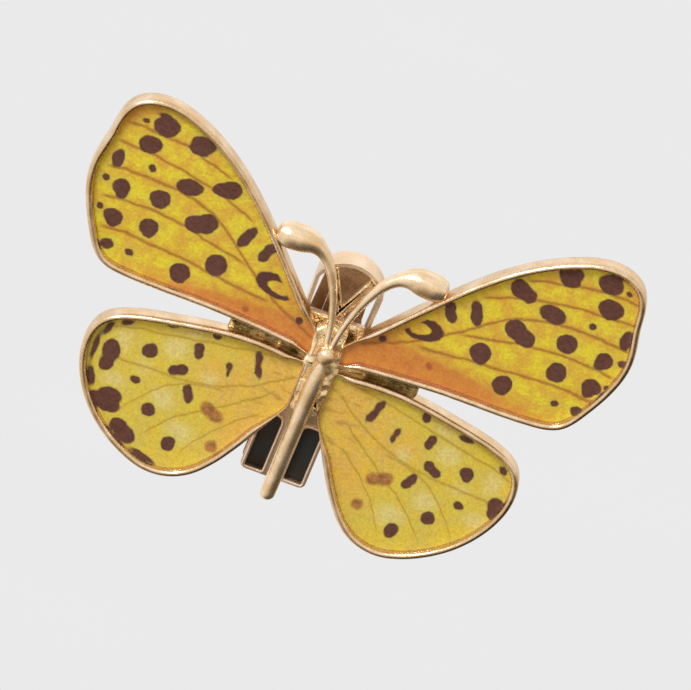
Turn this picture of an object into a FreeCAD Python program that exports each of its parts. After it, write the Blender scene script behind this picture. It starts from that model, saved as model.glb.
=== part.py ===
"""Butterfly brooch on a sprung clip, about 60 mm across the wings. Millimetres.

Every piece is drawn lying down: x to the right, y towards the antennae and z out of the front, with z = 0 on the
back of the clip and the hinge pin above x = y = 0. stand_up() then turns the piece into the brooch's own frame:
+X to the right as seen from the front, +Z towards the antennae, the front facing -Y, and the origin between the
clip's jaws, where they hold the cloth.

Each wing is a cast tray: a floor with a raised rim. A printed film lies on the floor and clear resin covers it.
The trays, the bridges between them, the head, the abdomen and the antennae are joined at the thorax. Behind the
thorax is the clip: a front lever fixed to the butterfly, and a back lever that turns on a pin against a spring.
"""

import FreeCAD, Part

import math
import os

# ---- Driving dimensions -------------------------------------------------------------------------------------

SHEET = 0.7                 # thickness of the clip's two levers
LEVER_GAP = 3.8             # between the levers' inner faces, at the hinge
MOUNTING_PAD = 0.3          # thickness of the pad that joins the thorax to the front lever
TRAY_HEIGHT = 2.2           # a wing tray, from its back to the top of its rim
RIM_WIDTH = 0.8             # width of a wing tray's rim
RIM_BEVEL = 0.15            # bevel on the rim's inner and outer top edges
FLOOR = 0.7                 # thickness of a wing tray's floor
FILM = 0.15                 # thickness of the printed film
RESIN_DROP = 0.3            # the resin's surface is this far below the rim's top
BRIDGE_HEIGHT = 0.9
BRIDGE_END_X = 10.5
BRIDGE_MIDDLE_Y = -0.6
BRIDGE_REACH = 1.6          # the webs fill the space between the wings for this far on both sides of their middle
THORAX_HALF = 1.8           # half width of the thorax, where the wing trays start
THORAX_HEIGHT = 1.7
THORAX_REAR_Y = -7.2
THORAX_SHOULDER_Y = 2.3
THORAX_FRONT_Y = 3.0
THORAX_FRONT_HALF = 1.0

HEAD_Y = 0.5
HEAD_R = 1.05
HEAD_RISE = 0.55            # the head's centre is this far above the rims
ABDOMEN_END_Y = -17.5
ABDOMEN_R = 0.93            # its radius behind the neck
ABDOMEN_MIDDLE_R = 0.9
ABDOMEN_TIP_R = 0.82        # its radius at the rear end
ABDOMEN_RISE = 0.15         # its axis is this far above the rims
ABDOMEN_TURN = 0.9          # degrees to the left of straight back
NECK = 2.6                  # length over which the abdomen narrows to the neck
NECK_R = 0.42

PIN_R = 0.6
PIN_CLEARANCE = 0.03        # radial, in the back lever's ears
PIN_HEAD_R = 0.95
PIN_HEAD = 0.35
EAR = 0.6                   # thickness of both levers' ears
EAR_GAP = 0.1               # between a front ear and a back ear
FRONT_EAR_R = 1.6
BACK_EAR_R = 1.4

CLIP_X = -0.15              # the clip's middle, a little to the left of the butterfly's
JAW_HALF = 3.6              # half width of both jaws
JAW_END_Y = -17.1
JAW_START_Y = 2.0           # the front jaw's plan reaches from the tip to here, under the tab's
JAW_BEND_Y = -3.0           # the front lever slopes down from here to its tip
JAW_TIP_TOP = 3.0           # height of the front jaw's upper face at the tip
JAW_BORDER = 0.42           # metal left beside the jaw's windows
JAW_BAR_HALF = 1.1          # half width of the bar between the jaw's windows
JAW_WINDOW_START_Y = -9.6
JAW_CORNER_R = 0.7
WAIST_Y = (-4.0, 2.0)       # the back lever is narrow here, between the front lever's ears
EAR_RELIEF = 0.4            # from the front lever's ears to the wide part of the back jaw
PAD_START_Y = -8.4          # the rubber pads reach from here to the tip
PAD = 0.8                   # thickness of the back rubber pad
PAD_GAP = 0.05              # between the rubber pads at the tip, when the clip is closed
PAD_RIB_PITCH = 0.8
PAD_RIB_DEPTH = 0.25
PAD_GROOVE = 0.35
PAD_INSET = 0.35            # from the jaw's sides to the pads'
PAD_TIP_INSET = 0.25
PAD_CORNER_R = 0.6

TAB_HALF = 3.7              # half width of the front thumb tab at its widest
TAB_NECK_HALF = 3.45
TAB_START_Y = -0.5          # both tabs' plans start here
TAB_END_Y = 10.0
TAB_WALL = 0.4              # thickness of the front tab's turned-down wall
TAB_WALL_HEIGHT = 3.3
TAB_WALL_START_Y = 1.7
TAB_ARCH = 2.6              # how much further the arched end reaches than its corners
TAB_WINDOW_Y = 3.6          # the tab's windows start here
TAB_RIB_HALF = 0.45
TAB_RIB_X = 0.3             # each rib's middle line passes through this point
TAB_RIB_Y = 4.7
TAB_RIB_REACH = (-3, 12)    # along the rib, from that point
TAB_RIB_LEAN = 25.0         # degrees that each of the two ribs leans outwards
BACK_TAB_HALF = 2.6         # the back tab fits inside the front tab's wall
BACK_TAB_END_Y = 8.8
WINDOW_CORNER_R = 0.2

WIRE_R = 0.22               # spring wire
COIL_R = 1.0                # mean radius of the spring's coil round the pin
COIL_TURNS = 5.5
COIL_PITCH = 0.5
FRONT_LEG_Y = 3.2
BACK_LEG_Y = 5.5
LEG_GAP = 0.05              # between the coil and the back leg's own solid

# ---- Levels that follow ---------------------------------------------------------------------------------------

Z_BACK_INNER = SHEET
Z_FRONT_INNER = Z_BACK_INNER + LEVER_GAP
Z_FRONT_TOP = Z_FRONT_INNER + SHEET
Z_PIN = Z_BACK_INNER + LEVER_GAP / 2
Z_WING_BACK = Z_FRONT_TOP + MOUNTING_PAD
Z_FLOOR = Z_WING_BACK + FLOOR
Z_RIM = Z_WING_BACK + TRAY_HEIGHT
Z_RESIN = Z_RIM - RESIN_DROP
Z_HEAD = Z_RIM + HEAD_RISE
GRIP = (CLIP_X, -13.0, Z_BACK_INNER + PAD)

# Cutters reach past everything: across the clip, beyond the jaws' tip and the tabs' end, and through all heights.
ALL_CLIP_X = (-5, 5)
PAST_TIP_Y = -25
PAST_TAB_Y = 20
ALL_Z = (-5, 20)

# ---- Outer outlines of the right wings, from one corner at the root round to the other, and the right antenna ----

FOREWING = [(1.8, 2.3), (7.9, 9.4), (15.8, 17.1), (20.7, 19.9), (25.2, 20.8), (28.0, 19.6), (29.1, 17.3),
            (29.35, 15.3), (29.75, 13.2), (29.95, 11.0), (29.2, 7.5), (27.6, 4.1), (25.5, 1.4), (22.5, 0.65),
            (14.0, 0.5), (1.8, -0.4)]
HINDWING = [(1.8, -1.3), (7.9, -0.85), (15.8, -1.95), (20.5, -3.1), (23.1, -4.7), (24.0, -7.4), (23.1, -11.5),
            (20.0, -15.8), (16.4, -18.3), (12.6, -19.4), (9.2, -18.5), (6.7, -16.1), (4.0, -11.6), (1.8, -7.2)]

# Centre line and radius: x, y, how far the centre is below the rims, radius.
ANTENNA = [(0.25, 1.0, 0.1, 0.30), (0.55, 3.2, 0.25, 0.34), (1.15, 5.6, 0.45, 0.40), (2.05, 8.0, 0.6, 0.48),
           (3.1, 9.7, 0.75, 0.60), (4.2, 10.7, 0.85, 0.72), (5.3, 11.3, 0.9, 0.90), (6.5, 11.6, 1.0, 1.12),
           (7.7, 11.7, 1.0, 1.20), (8.6, 11.65, 1.0, 1.05), (9.3, 11.6, 1.0, 0.7)]


def vec(x, y, z=0.0):
    return FreeCAD.Vector(x, y, z)


def mirrored(shape):
    """The left-hand copy of a right-hand piece."""
    return shape.mirror(vec(0, 0, 0), vec(1, 0, 0))


def stand_up(shape):
    """Turns a piece from the lying frame that it is drawn in into the brooch's own frame."""
    piece = shape.copy()
    piece.translate(-vec(*GRIP))
    piece.rotate(vec(0, 0, 0), vec(1, 0, 0), 90)
    return piece


def box(x0, x1, y0, y1, z0, z1):
    return Part.makeBox(x1 - x0, y1 - y0, z1 - z0, vec(x0, y0, z0))


def cylinder_x(radius, x0, x1, y, z):
    return Part.makeCylinder(radius, x1 - x0, vec(x0, y, z), vec(1, 0, 0))


def prism(face, z0, z1):
    solid = face.extrude(vec(0, 0, z1 - z0))
    solid.translate(vec(0, 0, z0))
    return solid


def polygon(points):
    """A flat face inside straight edges."""
    corners = [vec(*p) for p in points]
    return Part.Face(Part.makePolygon(corners + corners[:1]))


def round_upright_edges(solid, radius):
    upright = [e for e in solid.Edges if len(e.Vertexes) == 2 and e.Vertexes[0].Point.distanceToPoint(
               vec(e.Vertexes[1].X, e.Vertexes[1].Y, e.Vertexes[0].Z)) < 1e-6]
    return solid.makeFillet(radius, upright)


def rounded_block(x0, x1, y0, y1, radius):
    """A tall block with rounded upright edges, which cuts a plan shape out of other solids."""
    return round_upright_edges(box(x0, x1, y0, y1, *ALL_Z), radius)


# ---- Wings ------------------------------------------------------------------------------------------------------

def wing_face(points, inset=0.0):
    """The wing's outline as a flat face: one smooth curve, closed by a straight edge at the root."""
    curve = Part.BSplineCurve()
    curve.interpolate([vec(*p) for p in points])
    if inset:
        curve = inset_curve(curve, inset)
    closing = Part.LineSegment(curve.EndPoint, curve.StartPoint)
    face = Part.Face(Part.Wire([curve.toShape(), closing.toShape()]))
    if not inset:
        return face
    beyond_root = Part.Face(Part.makePlane(100, 100, vec(THORAX_HALF + inset, -50, 0)).OuterWire)
    return face.common(beyond_root).Faces[0]


def inset_curve(curve, inset, steps=48):
    """A curve that runs clockwise round a wing, moved inwards."""
    first, last = curve.FirstParameter, curve.LastParameter
    moved = []
    for i in range(steps + 1):
        at = first + (last - first) * i / steps
        along = curve.tangent(at)[0]
        moved.append(curve.value(at) + vec(along.y, -along.x) * inset)
    inner = Part.BSplineCurve()
    inner.interpolate(moved)
    return inner


def wing_tray(points):
    """Floor and rim. The rim's top narrows in one step, which stands for its rounding."""
    outer = prism(wing_face(points), Z_WING_BACK, Z_RIM - RIM_BEVEL)
    crown = prism(wing_face(points, RIM_BEVEL), Z_RIM - RIM_BEVEL, Z_RIM)
    pocket = prism(wing_face(points, RIM_WIDTH), Z_FLOOR, Z_RIM + 1)
    return outer.fuse(crown).cut(pocket)


def wing_film(points):
    return prism(wing_face(points, RIM_WIDTH), Z_FLOOR, Z_FLOOR + FILM)


def wing_resin(points):
    return prism(wing_face(points, RIM_WIDTH), Z_FLOOR + FILM, Z_RESIN)


def wing_bridge():
    """The web cast between the right-hand wings, from the thorax out to BRIDGE_END_X."""
    web = box(THORAX_HALF, BRIDGE_END_X, BRIDGE_MIDDLE_Y - BRIDGE_REACH, BRIDGE_MIDDLE_Y + BRIDGE_REACH,
              Z_WING_BACK, Z_WING_BACK + BRIDGE_HEIGHT)
    for points in (FOREWING, HINDWING):
        web = web.cut(prism(wing_face(points), *ALL_Z))
    between = Part.Vertex(vec(BRIDGE_END_X / 2, BRIDGE_MIDDLE_Y, Z_WING_BACK))
    return min(web.Solids, key=lambda s: s.distToShape(between)[0])


# ---- Body of the butterfly ----------------------------------------------------------------------------------------

def head():
    return Part.makeSphere(HEAD_R, vec(0, HEAD_Y, Z_HEAD))


def abdomen():
    """A tapered rod with a narrow neck at the head and a round rear end."""
    length = HEAD_Y - ABDOMEN_END_Y - HEAD_R / 2
    round_start = length - ABDOMEN_TIP_R
    side = Part.BSplineCurve()
    side.interpolate([vec(0, NECK_R), vec(NECK / 2, (NECK_R + ABDOMEN_R) / 2), vec(NECK, ABDOMEN_R),
                      vec(length / 2, ABDOMEN_MIDDLE_R), vec(round_start, ABDOMEN_TIP_R)])
    diagonal = math.sqrt(0.5) * ABDOMEN_TIP_R
    end = Part.Arc(vec(round_start, ABDOMEN_TIP_R), vec(round_start + diagonal, diagonal), vec(length, 0))
    axis = Part.LineSegment(vec(length, 0), vec(0, 0))
    front = Part.LineSegment(vec(0, 0), vec(0, NECK_R))
    profile = Part.Face(Part.Wire([e.toShape() for e in (side, end, axis, front)]))
    rod = profile.revolve(vec(0, 0, 0), vec(1, 0, 0), 360)
    rod.rotate(vec(0, 0, 0), vec(0, 0, 1), -90 - ABDOMEN_TURN)
    rod.translate(vec(0, HEAD_Y - HEAD_R / 2, Z_RIM + ABDOMEN_RISE))
    return rod.cut(head())


def antenna():
    """The right antenna: a wire that swells into a bulb, which ends on the forewing's rim."""
    points = [vec(x, y, Z_RIM - drop) for x, y, drop, radius in ANTENNA]
    sections = []
    for i, centre in enumerate(points):
        along = points[min(i + 1, len(points) - 1)] - points[max(i - 1, 0)]
        sections.append(Part.Wire(Part.Circle(centre, along, ANTENNA[i][3]).toShape()))
    stalk = Part.makeLoft(sections, True, True)
    right_half = box(0, 20, 0, 20, 0, 20)
    return stalk.common(right_half).cut(head()).cut(prism(wing_face(FOREWING), *ALL_Z))


def thorax(neighbours):
    """The plate that the wings, head, abdomen and antennae are joined to, hollowed where they sit in it."""
    outline = polygon([(-THORAX_HALF, THORAX_REAR_Y), (THORAX_HALF, THORAX_REAR_Y),
                       (THORAX_HALF, THORAX_SHOULDER_Y), (THORAX_FRONT_HALF, THORAX_FRONT_Y),
                       (-THORAX_FRONT_HALF, THORAX_FRONT_Y), (-THORAX_HALF, THORAX_SHOULDER_Y)])
    plate = prism(outline, Z_WING_BACK, Z_WING_BACK + THORAX_HEIGHT)
    for piece in neighbours:
        plate = plate.cut(piece)
    return plate


def mounting_pad():
    """Solder between the thorax and the clip's front lever."""
    return box(-THORAX_HALF, THORAX_HALF, JAW_BEND_Y, THORAX_FRONT_Y, Z_FRONT_TOP, Z_WING_BACK)


# ---- Clip -----------------------------------------------------------------------------------------------------------

def tab_block(half, neck_half, end_y, inset=0.0):
    """A thumb tab's plan as a tall solid: it widens from the hinge and ends in an arch."""
    neck, wide, end = neck_half - inset, half - inset, end_y - inset
    corner_y = end_y - TAB_ARCH
    arch = Part.Arc(vec(wide, corner_y), vec(0, end), vec(-wide, corner_y))
    base = Part.LineSegment(vec(-neck, TAB_START_Y), vec(neck, TAB_START_Y))
    right = Part.LineSegment(vec(neck, TAB_START_Y), vec(wide, corner_y))
    left = Part.LineSegment(vec(-wide, corner_y), vec(-neck, TAB_START_Y))
    return prism(Part.Face(Part.Wire([e.toShape() for e in (base, right, arch, left)])), *ALL_Z)


def front_tab_block(inset=0.0):
    return tab_block(TAB_HALF, TAB_NECK_HALF, TAB_END_Y, inset)


def tab_windows():
    """Three windows between the tab's wall and two ribs that spread in a V."""
    openings = front_tab_block(TAB_WALL).common(box(*ALL_CLIP_X, TAB_WINDOW_Y, PAST_TAB_Y, *ALL_Z))
    for side in (-1, 1):
        rib = box(-TAB_RIB_HALF, TAB_RIB_HALF, *TAB_RIB_REACH, *ALL_Z)
        rib.rotate(vec(0, 0, 0), vec(0, 0, 1), -TAB_RIB_LEAN * side)
        rib.translate(vec(TAB_RIB_X * side, TAB_RIB_Y, 0))
        openings = openings.cut(rib)
    wide_enough = [s for s in openings.Solids if s.Volume > 1.0 * (ALL_Z[1] - ALL_Z[0])]
    return Part.makeCompound([round_upright_edges(s, WINDOW_CORNER_R) for s in wide_enough])


def jaw_windows():
    """The two long windows of a jaw."""
    right = rounded_block(JAW_BAR_HALF, JAW_HALF - JAW_BORDER, JAW_END_Y + JAW_BORDER, JAW_WINDOW_START_Y,
                          WINDOW_CORNER_R)
    return Part.makeCompound([right, mirrored(right)])


def ear_pair(outer_x, radius, hole_r, z_plate):
    """Two ears between z_plate and the pin, with the pin's hole in them."""
    low, high = min(z_plate, Z_PIN), max(z_plate, Z_PIN)
    for x0 in (outer_x - EAR, -outer_x):
        ear = box(x0, x0 + EAR, -radius, radius, low, high).fuse(cylinder_x(radius, x0, x0 + EAR, 0, Z_PIN))
        yield ear.cut(cylinder_x(hole_r, x0 - 1, x0 + EAR + 1, 0, Z_PIN))


def front_top_at(y):
    """Height of the front jaw's upper face, for y past the bend."""
    slope = (Z_FRONT_TOP - JAW_TIP_TOP) / (JAW_BEND_Y - JAW_END_Y)
    return Z_FRONT_TOP - slope * (JAW_BEND_Y - y)


def front_layer(drop, thickness):
    """A wide bent layer of the given thickness whose top is drop below the front lever's upper face."""
    past_tip = JAW_END_Y - 1
    line = [(TAB_END_Y + 1, Z_FRONT_TOP), (JAW_BEND_Y, Z_FRONT_TOP), (past_tip, front_top_at(past_tip))]
    side = [(y, z - drop) for y, z in line] + [(y, z - drop - thickness) for y, z in reversed(line)]
    left, right = ALL_CLIP_X
    corners = [vec(left, y, z) for y, z in side]
    return Part.Face(Part.makePolygon(corners + corners[:1])).extrude(vec(right - left, 0, 0))


def front_lever():
    jaw = rounded_block(-JAW_HALF, JAW_HALF, JAW_END_Y, JAW_START_Y, JAW_CORNER_R)
    lever = front_layer(0, SHEET).common(jaw.fuse(front_tab_block()).removeSplitter())
    wall = front_tab_block().cut(front_tab_block(TAB_WALL))
    turned_down = box(*ALL_CLIP_X, TAB_WALL_START_Y, PAST_TAB_Y, Z_FRONT_TOP - TAB_WALL_HEIGHT, Z_FRONT_TOP)
    lever = lever.fuse(wall.common(turned_down))
    for ear in ear_pair(JAW_HALF, FRONT_EAR_R, PIN_R, Z_FRONT_INNER):
        lever = lever.fuse(ear)
    return lever.removeSplitter().cut(tab_windows()).cut(jaw_windows())


def back_lever():
    outer_x = JAW_HALF - EAR - EAR_GAP
    jaw = rounded_block(-JAW_HALF, JAW_HALF, JAW_END_Y, -FRONT_EAR_R - EAR_RELIEF, JAW_CORNER_R)
    waist = box(-outer_x, outer_x, *WAIST_Y, *ALL_Z)
    tab = tab_block(BACK_TAB_HALF, outer_x, BACK_TAB_END_Y)
    sheet = box(*ALL_CLIP_X, PAST_TIP_Y, PAST_TAB_Y, 0, SHEET)
    lever = sheet.common(jaw.fuse([waist, tab]).removeSplitter())
    for ear in ear_pair(outer_x, BACK_EAR_R, PIN_R + PIN_CLEARANCE, Z_BACK_INNER):
        lever = lever.fuse(ear)
    return lever.removeSplitter().cut(jaw_windows())


def grip_block():
    """Plan of the rubber pads."""
    half = JAW_HALF - PAD_INSET
    return rounded_block(-half, half, JAW_END_Y + PAD_TIP_INSET, PAD_START_Y, PAD_CORNER_R)


def back_pad():
    """Rubber on the back jaw, with grooves across it."""
    top = Z_BACK_INNER + PAD
    pad = box(*ALL_CLIP_X, PAST_TIP_Y, 0, Z_BACK_INNER, top).common(grip_block())
    count = int((PAD_START_Y - JAW_END_Y) / PAD_RIB_PITCH) - 1
    for i in range(count):
        y = JAW_END_Y + PAD_RIB_PITCH * (i + 1)
        pad = pad.cut(box(*ALL_CLIP_X, y, y + PAD_GROOVE, top - PAD_RIB_DEPTH, top + 1))
    return pad


def front_pad():
    """Rubber under the front jaw. It closes on the back pad at the tip."""
    thickness = JAW_TIP_TOP - SHEET - (Z_BACK_INNER + PAD + PAD_GAP)
    return front_layer(SHEET, thickness).common(grip_block())


def hinge_pin():
    """The pin, with a head riveted on each end."""
    pin = cylinder_x(PIN_R, -JAW_HALF, JAW_HALF, 0, Z_PIN)
    for x0 in (-JAW_HALF - PIN_HEAD, JAW_HALF):
        pin = pin.fuse(cylinder_x(PIN_HEAD_R, x0, x0 + PIN_HEAD, 0, Z_PIN))
    return pin.removeSplitter()


def wire(start, end):
    """A straight length of spring wire with round ends."""
    rod = Part.makeCylinder(WIRE_R, (end - start).Length, start, end - start)
    return rod.fuse([Part.makeSphere(WIRE_R, start), Part.makeSphere(WIRE_R, end)])


def spring_coil():
    """The spring's coil round the pin, and its front leg, which pushes the front tab."""
    length = COIL_PITCH * COIL_TURNS
    helix = Part.makeHelix(COIL_PITCH, length, COIL_R, 0, True)
    edge = helix.Edges[0]
    start, along = edge.valueAt(edge.FirstParameter), edge.tangentAt(edge.FirstParameter)
    section = Part.Wire(Part.Circle(start, along, WIRE_R).toShape())
    coil = Part.Wire(helix.Edges).makePipeShell([section], True, True)
    coil.rotate(vec(0, 0, 0), vec(0, 1, 0), 90)
    coil.translate(vec(-length / 2, 0, Z_PIN))
    top = vec(length / 2, 0, Z_PIN + COIL_R)
    return coil.fuse(wire(top, vec(length / 2, FRONT_LEG_Y, Z_FRONT_INNER - WIRE_R)))


def spring_back_leg():
    """The spring's other leg, which pushes the back tab and turns with it."""
    x = -COIL_PITCH * COIL_TURNS / 2
    start = vec(x, WIRE_R + LEG_GAP, Z_PIN - COIL_R)
    return wire(start, vec(x, BACK_LEG_Y, Z_BACK_INNER + WIRE_R))


# ---- Pieces ---------------------------------------------------------------------------------------------------------

def pieces():
    """Every piece in the lying frame, by node name. Left and right are as seen from the front."""
    made = {"head": head(), "abdomen": abdomen()}
    right = {"antenna": antenna(), "wing_bridge": wing_bridge()}
    for wing, points in (("forewing", FOREWING), ("hindwing", HINDWING)):
        right[wing + "_tray"] = wing_tray(points)
        right[wing + "_film"] = wing_film(points)
        right[wing + "_resin"] = wing_resin(points)
    for name, shape in right.items():
        made["right_" + name] = shape
        made["left_" + name] = mirrored(shape)
    sunk_in = ("head", "abdomen", "left_antenna", "right_antenna")
    made["thorax"] = thorax([made[name] for name in sunk_in])
    made["mounting_pad"] = mounting_pad()
    clip = {"clip_front_lever": front_lever(), "clip_back_lever": back_lever(), "front_grip_pad": front_pad(),
            "back_grip_pad": back_pad(), "hinge_pin": hinge_pin(), "spring_coil": spring_coil(),
            "spring_back_leg": spring_back_leg()}
    for name, shape in clip.items():
        shape.translate(vec(CLIP_X, 0, 0))
        made[name] = shape
    return made


os.makedirs("parts", exist_ok=True)
for node, shape in pieces().items():
    piece = stand_up(shape)
    solids = piece.Solids
    print(f"{node:24s} solids {len(solids)} valid {piece.isValid()} volume {piece.Volume:8.2f}")
    piece = solids[0] if len(solids) == 1 else piece
    piece.exportStep(f"parts/{node}.step")
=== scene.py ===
"""Looks of the butterfly clip brooch: cast gold trays with a printed wing film under resin, on a sprung clip.

Every piece is drawn lying down in millimetres: x to the right from the butterfly's middle, y from the hinge
pin towards the antennae, z up from the back of the wing trays. to_world() stands it up in metres at the place
that the CAD boxes give.
"""

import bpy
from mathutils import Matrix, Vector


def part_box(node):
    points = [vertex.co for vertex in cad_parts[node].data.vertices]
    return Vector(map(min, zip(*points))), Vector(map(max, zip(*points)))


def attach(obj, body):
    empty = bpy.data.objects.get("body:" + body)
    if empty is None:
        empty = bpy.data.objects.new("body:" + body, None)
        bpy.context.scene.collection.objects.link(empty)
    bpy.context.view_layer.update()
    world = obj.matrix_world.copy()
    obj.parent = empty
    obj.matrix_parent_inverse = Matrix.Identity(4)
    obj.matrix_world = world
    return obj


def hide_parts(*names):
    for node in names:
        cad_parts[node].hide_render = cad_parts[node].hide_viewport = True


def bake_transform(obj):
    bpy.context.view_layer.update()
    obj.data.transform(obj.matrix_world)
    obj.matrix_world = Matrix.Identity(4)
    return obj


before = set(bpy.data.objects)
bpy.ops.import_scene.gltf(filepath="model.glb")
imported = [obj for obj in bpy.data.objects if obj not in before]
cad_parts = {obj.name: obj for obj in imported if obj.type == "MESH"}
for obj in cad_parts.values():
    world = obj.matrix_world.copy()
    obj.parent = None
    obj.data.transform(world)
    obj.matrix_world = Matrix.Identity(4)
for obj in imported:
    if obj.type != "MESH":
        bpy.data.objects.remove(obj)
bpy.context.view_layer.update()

import math

import bmesh
import bpy
from mathutils import Matrix, Vector, noise

MM = 0.001
MERGE_DISTANCE = 1e-7       # metres

# ---- Places that the CAD model gives ---------------------------------


def middle(*nodes):
    """Centre of the box around some CAD nodes, in metres."""
    corners = [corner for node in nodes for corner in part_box(node)]
    low = Vector([min(c[i] for c in corners) for i in range(3)])
    high = Vector([max(c[i] for c in corners) for i in range(3)])
    return (low + high) / 2


MIDDLE_X = middle("left_forewing_tray", "right_forewing_tray").x
PIN = middle("hinge_pin")
RIM_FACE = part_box("right_forewing_tray")[0][1]
TRAY_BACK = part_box("right_forewing_tray")[1][1]
TRAY_HEIGHT = (TRAY_BACK - RIM_FACE) / MM
CLIP_X = (PIN.x - MIDDLE_X) / MM
PIN_Z = (TRAY_BACK - PIN.y) / MM
CLIP_BACK_Z = (TRAY_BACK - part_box("clip_back_lever")[1][1]) / MM
CLIP_FRONT_Z = (TRAY_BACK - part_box("clip_front_lever")[0][1]) / MM


def to_world(x, y, z):
    """From the lying frame in millimetres to the row frame in metres."""
    return Vector((MIDDLE_X + x * MM, TRAY_BACK - z * MM, PIN.z + y * MM))


# ---- Mesh helpers ----------------------------------------------------

def new_piece(name, verts, faces, material, replaces, smooth_angle, body="brooch"):
    """A mesh piece from points in the lying frame."""
    mesh = bpy.data.meshes.new(name)
    mesh.from_pydata([to_world(x, y, z) for x, y, z in verts], [], faces)
    return finish_piece(name, mesh, material, replaces, smooth_angle, body)


def finish_piece(name, mesh, material, replaces, smooth_angle, body):
    """An object around a mesh, smooth up to an angle in degrees. With a body, it rides on it."""
    bm = bmesh.new()
    bm.from_mesh(mesh)
    bmesh.ops.remove_doubles(bm, verts=bm.verts, dist=MERGE_DISTANCE)
    bmesh.ops.recalc_face_normals(bm, faces=bm.faces)
    limit = math.radians(smooth_angle)
    for edge in bm.edges:
        edge.smooth = not (edge.is_manifold and edge.calc_face_angle(0) > limit)
    for face in bm.faces:
        face.smooth = True
    bm.to_mesh(mesh)
    bm.free()
    piece = bpy.data.objects.new(name, mesh)
    bpy.context.scene.collection.objects.link(piece)
    mesh.materials.append(material)
    if replaces:
        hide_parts(*replaces)
    if body:
        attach(piece, body)
    return piece


def loft(rings):
    """Joins closed rings of equal length with quads, and closes the two ends."""
    n = len(rings[0])
    verts = [tuple(p) for ring in rings for p in ring]
    faces = []
    for i in range(len(rings) - 1):
        for k in range(n):
            a, b = i * n + k, i * n + (k + 1) % n
            faces.append((a, b, b + n, a + n))
    last = (len(rings) - 1) * n
    faces.append(tuple(range(n - 1, -1, -1)))
    faces.append(tuple(last + k for k in range(n)))
    return verts, faces


LEAST_STEPS = 12            # points between two given ones, before a smooth line is spaced evenly


def smooth_line(points, count):
    """count points spaced evenly along a smooth curve through the given points (of any dimension)."""
    through = [Vector(p) for p in points]
    knots = [0.0]
    for a, b in zip(through, through[1:]):
        knots.append(knots[-1] + (b.to_3d() - a.to_3d()).length)
    slopes = natural_slopes(knots, through)
    dense = []
    per_span = max(LEAST_STEPS, 4 * count // len(points))
    for i in range(len(through) - 1):
        for k in range(per_span):
            dense.append(hermite(knots, through, slopes, i, k / per_span))
    dense.append(through[-1])
    return resample(dense, count, closed=False)


def natural_slopes(knots, points):
    """Slopes of the natural cubic spline through the points."""
    n = len(points)
    size = len(points[0])
    lower, diag, upper, right = [0.0] * n, [0.0] * n, [0.0] * n, [Vector([0.0] * size) for _ in range(n)]
    for i in range(n):
        before = 1 / (knots[i] - knots[i - 1]) if i > 0 else 0.0
        after = 1 / (knots[i + 1] - knots[i]) if i < n - 1 else 0.0
        lower[i], diag[i], upper[i] = before, 2 * (before + after), after
        if i > 0:
            right[i] += 3 * before * before * (points[i] - points[i - 1])
        if i < n - 1:
            right[i] += 3 * after * after * (points[i + 1] - points[i])
    for i in range(1, n):
        ratio = lower[i] / diag[i - 1]
        diag[i] -= ratio * upper[i - 1]
        right[i] -= ratio * right[i - 1]
    slopes = [None] * n
    slopes[-1] = right[-1] / diag[-1]
    for i in range(n - 2, -1, -1):
        slopes[i] = (right[i] - upper[i] * slopes[i + 1]) / diag[i]
    return slopes


def hermite(knots, points, slopes, i, t):
    """The point at the share t of span i of a cubic spline."""
    h = knots[i + 1] - knots[i]
    t2, t3 = t * t, t * t * t
    return (points[i] * (2 * t3 - 3 * t2 + 1) + slopes[i] * (h * (t3 - 2 * t2 + t))
            + points[i + 1] * (3 * t2 - 2 * t3) + slopes[i + 1] * (h * (t3 - t2)))


def resample(points, count, closed):
    """count points at even distances along a line of points."""
    line = points + points[:1] if closed else points
    lengths = [0.0]
    for a, b in zip(line, line[1:]):
        lengths.append(lengths[-1] + (Vector(b).to_3d() - Vector(a).to_3d()).length)
    steps = count if closed else count - 1
    result, k = [], 0
    for i in range(count):
        at = lengths[-1] * i / steps
        while k < len(lengths) - 2 and lengths[k + 1] < at:
            k += 1
        span = lengths[k + 1] - lengths[k]
        t = (at - lengths[k]) / span if span else 0.0
        result.append(line[k].lerp(line[k + 1], min(t, 1.0)))
    return result


def round_corner(before, corner, after, cut, steps=10):
    """Points of a smooth corner that starts and ends at the distance cut from the sharp one."""
    start = corner + (before - corner).normalized() * cut
    end = corner + (after - corner).normalized() * cut
    line = []
    for i in range(steps + 1):
        t = i / steps
        line.append(start.lerp(corner, t).lerp(corner.lerp(end, t), t))
    return line


def inset(loop, distance, shares=None):
    """A closed clockwise loop moved inwards, by the distance times each point's share of it."""
    moved = []
    n = len(loop)
    for i in range(n):
        along = (loop[(i + 1) % n] - loop[i - 1]).normalized()
        share = shares[i] if shares else 1.0
        moved.append(loop[i] + Vector((along.y, -along.x)) * distance * share)
    return moved


def smoothstep(low, high, value):
    t = min(max((value - low) / (high - low), 0.0), 1.0)
    return t * t * (3 - 2 * t)


# ---- Wing outlines ---------------------------------------------------

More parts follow.
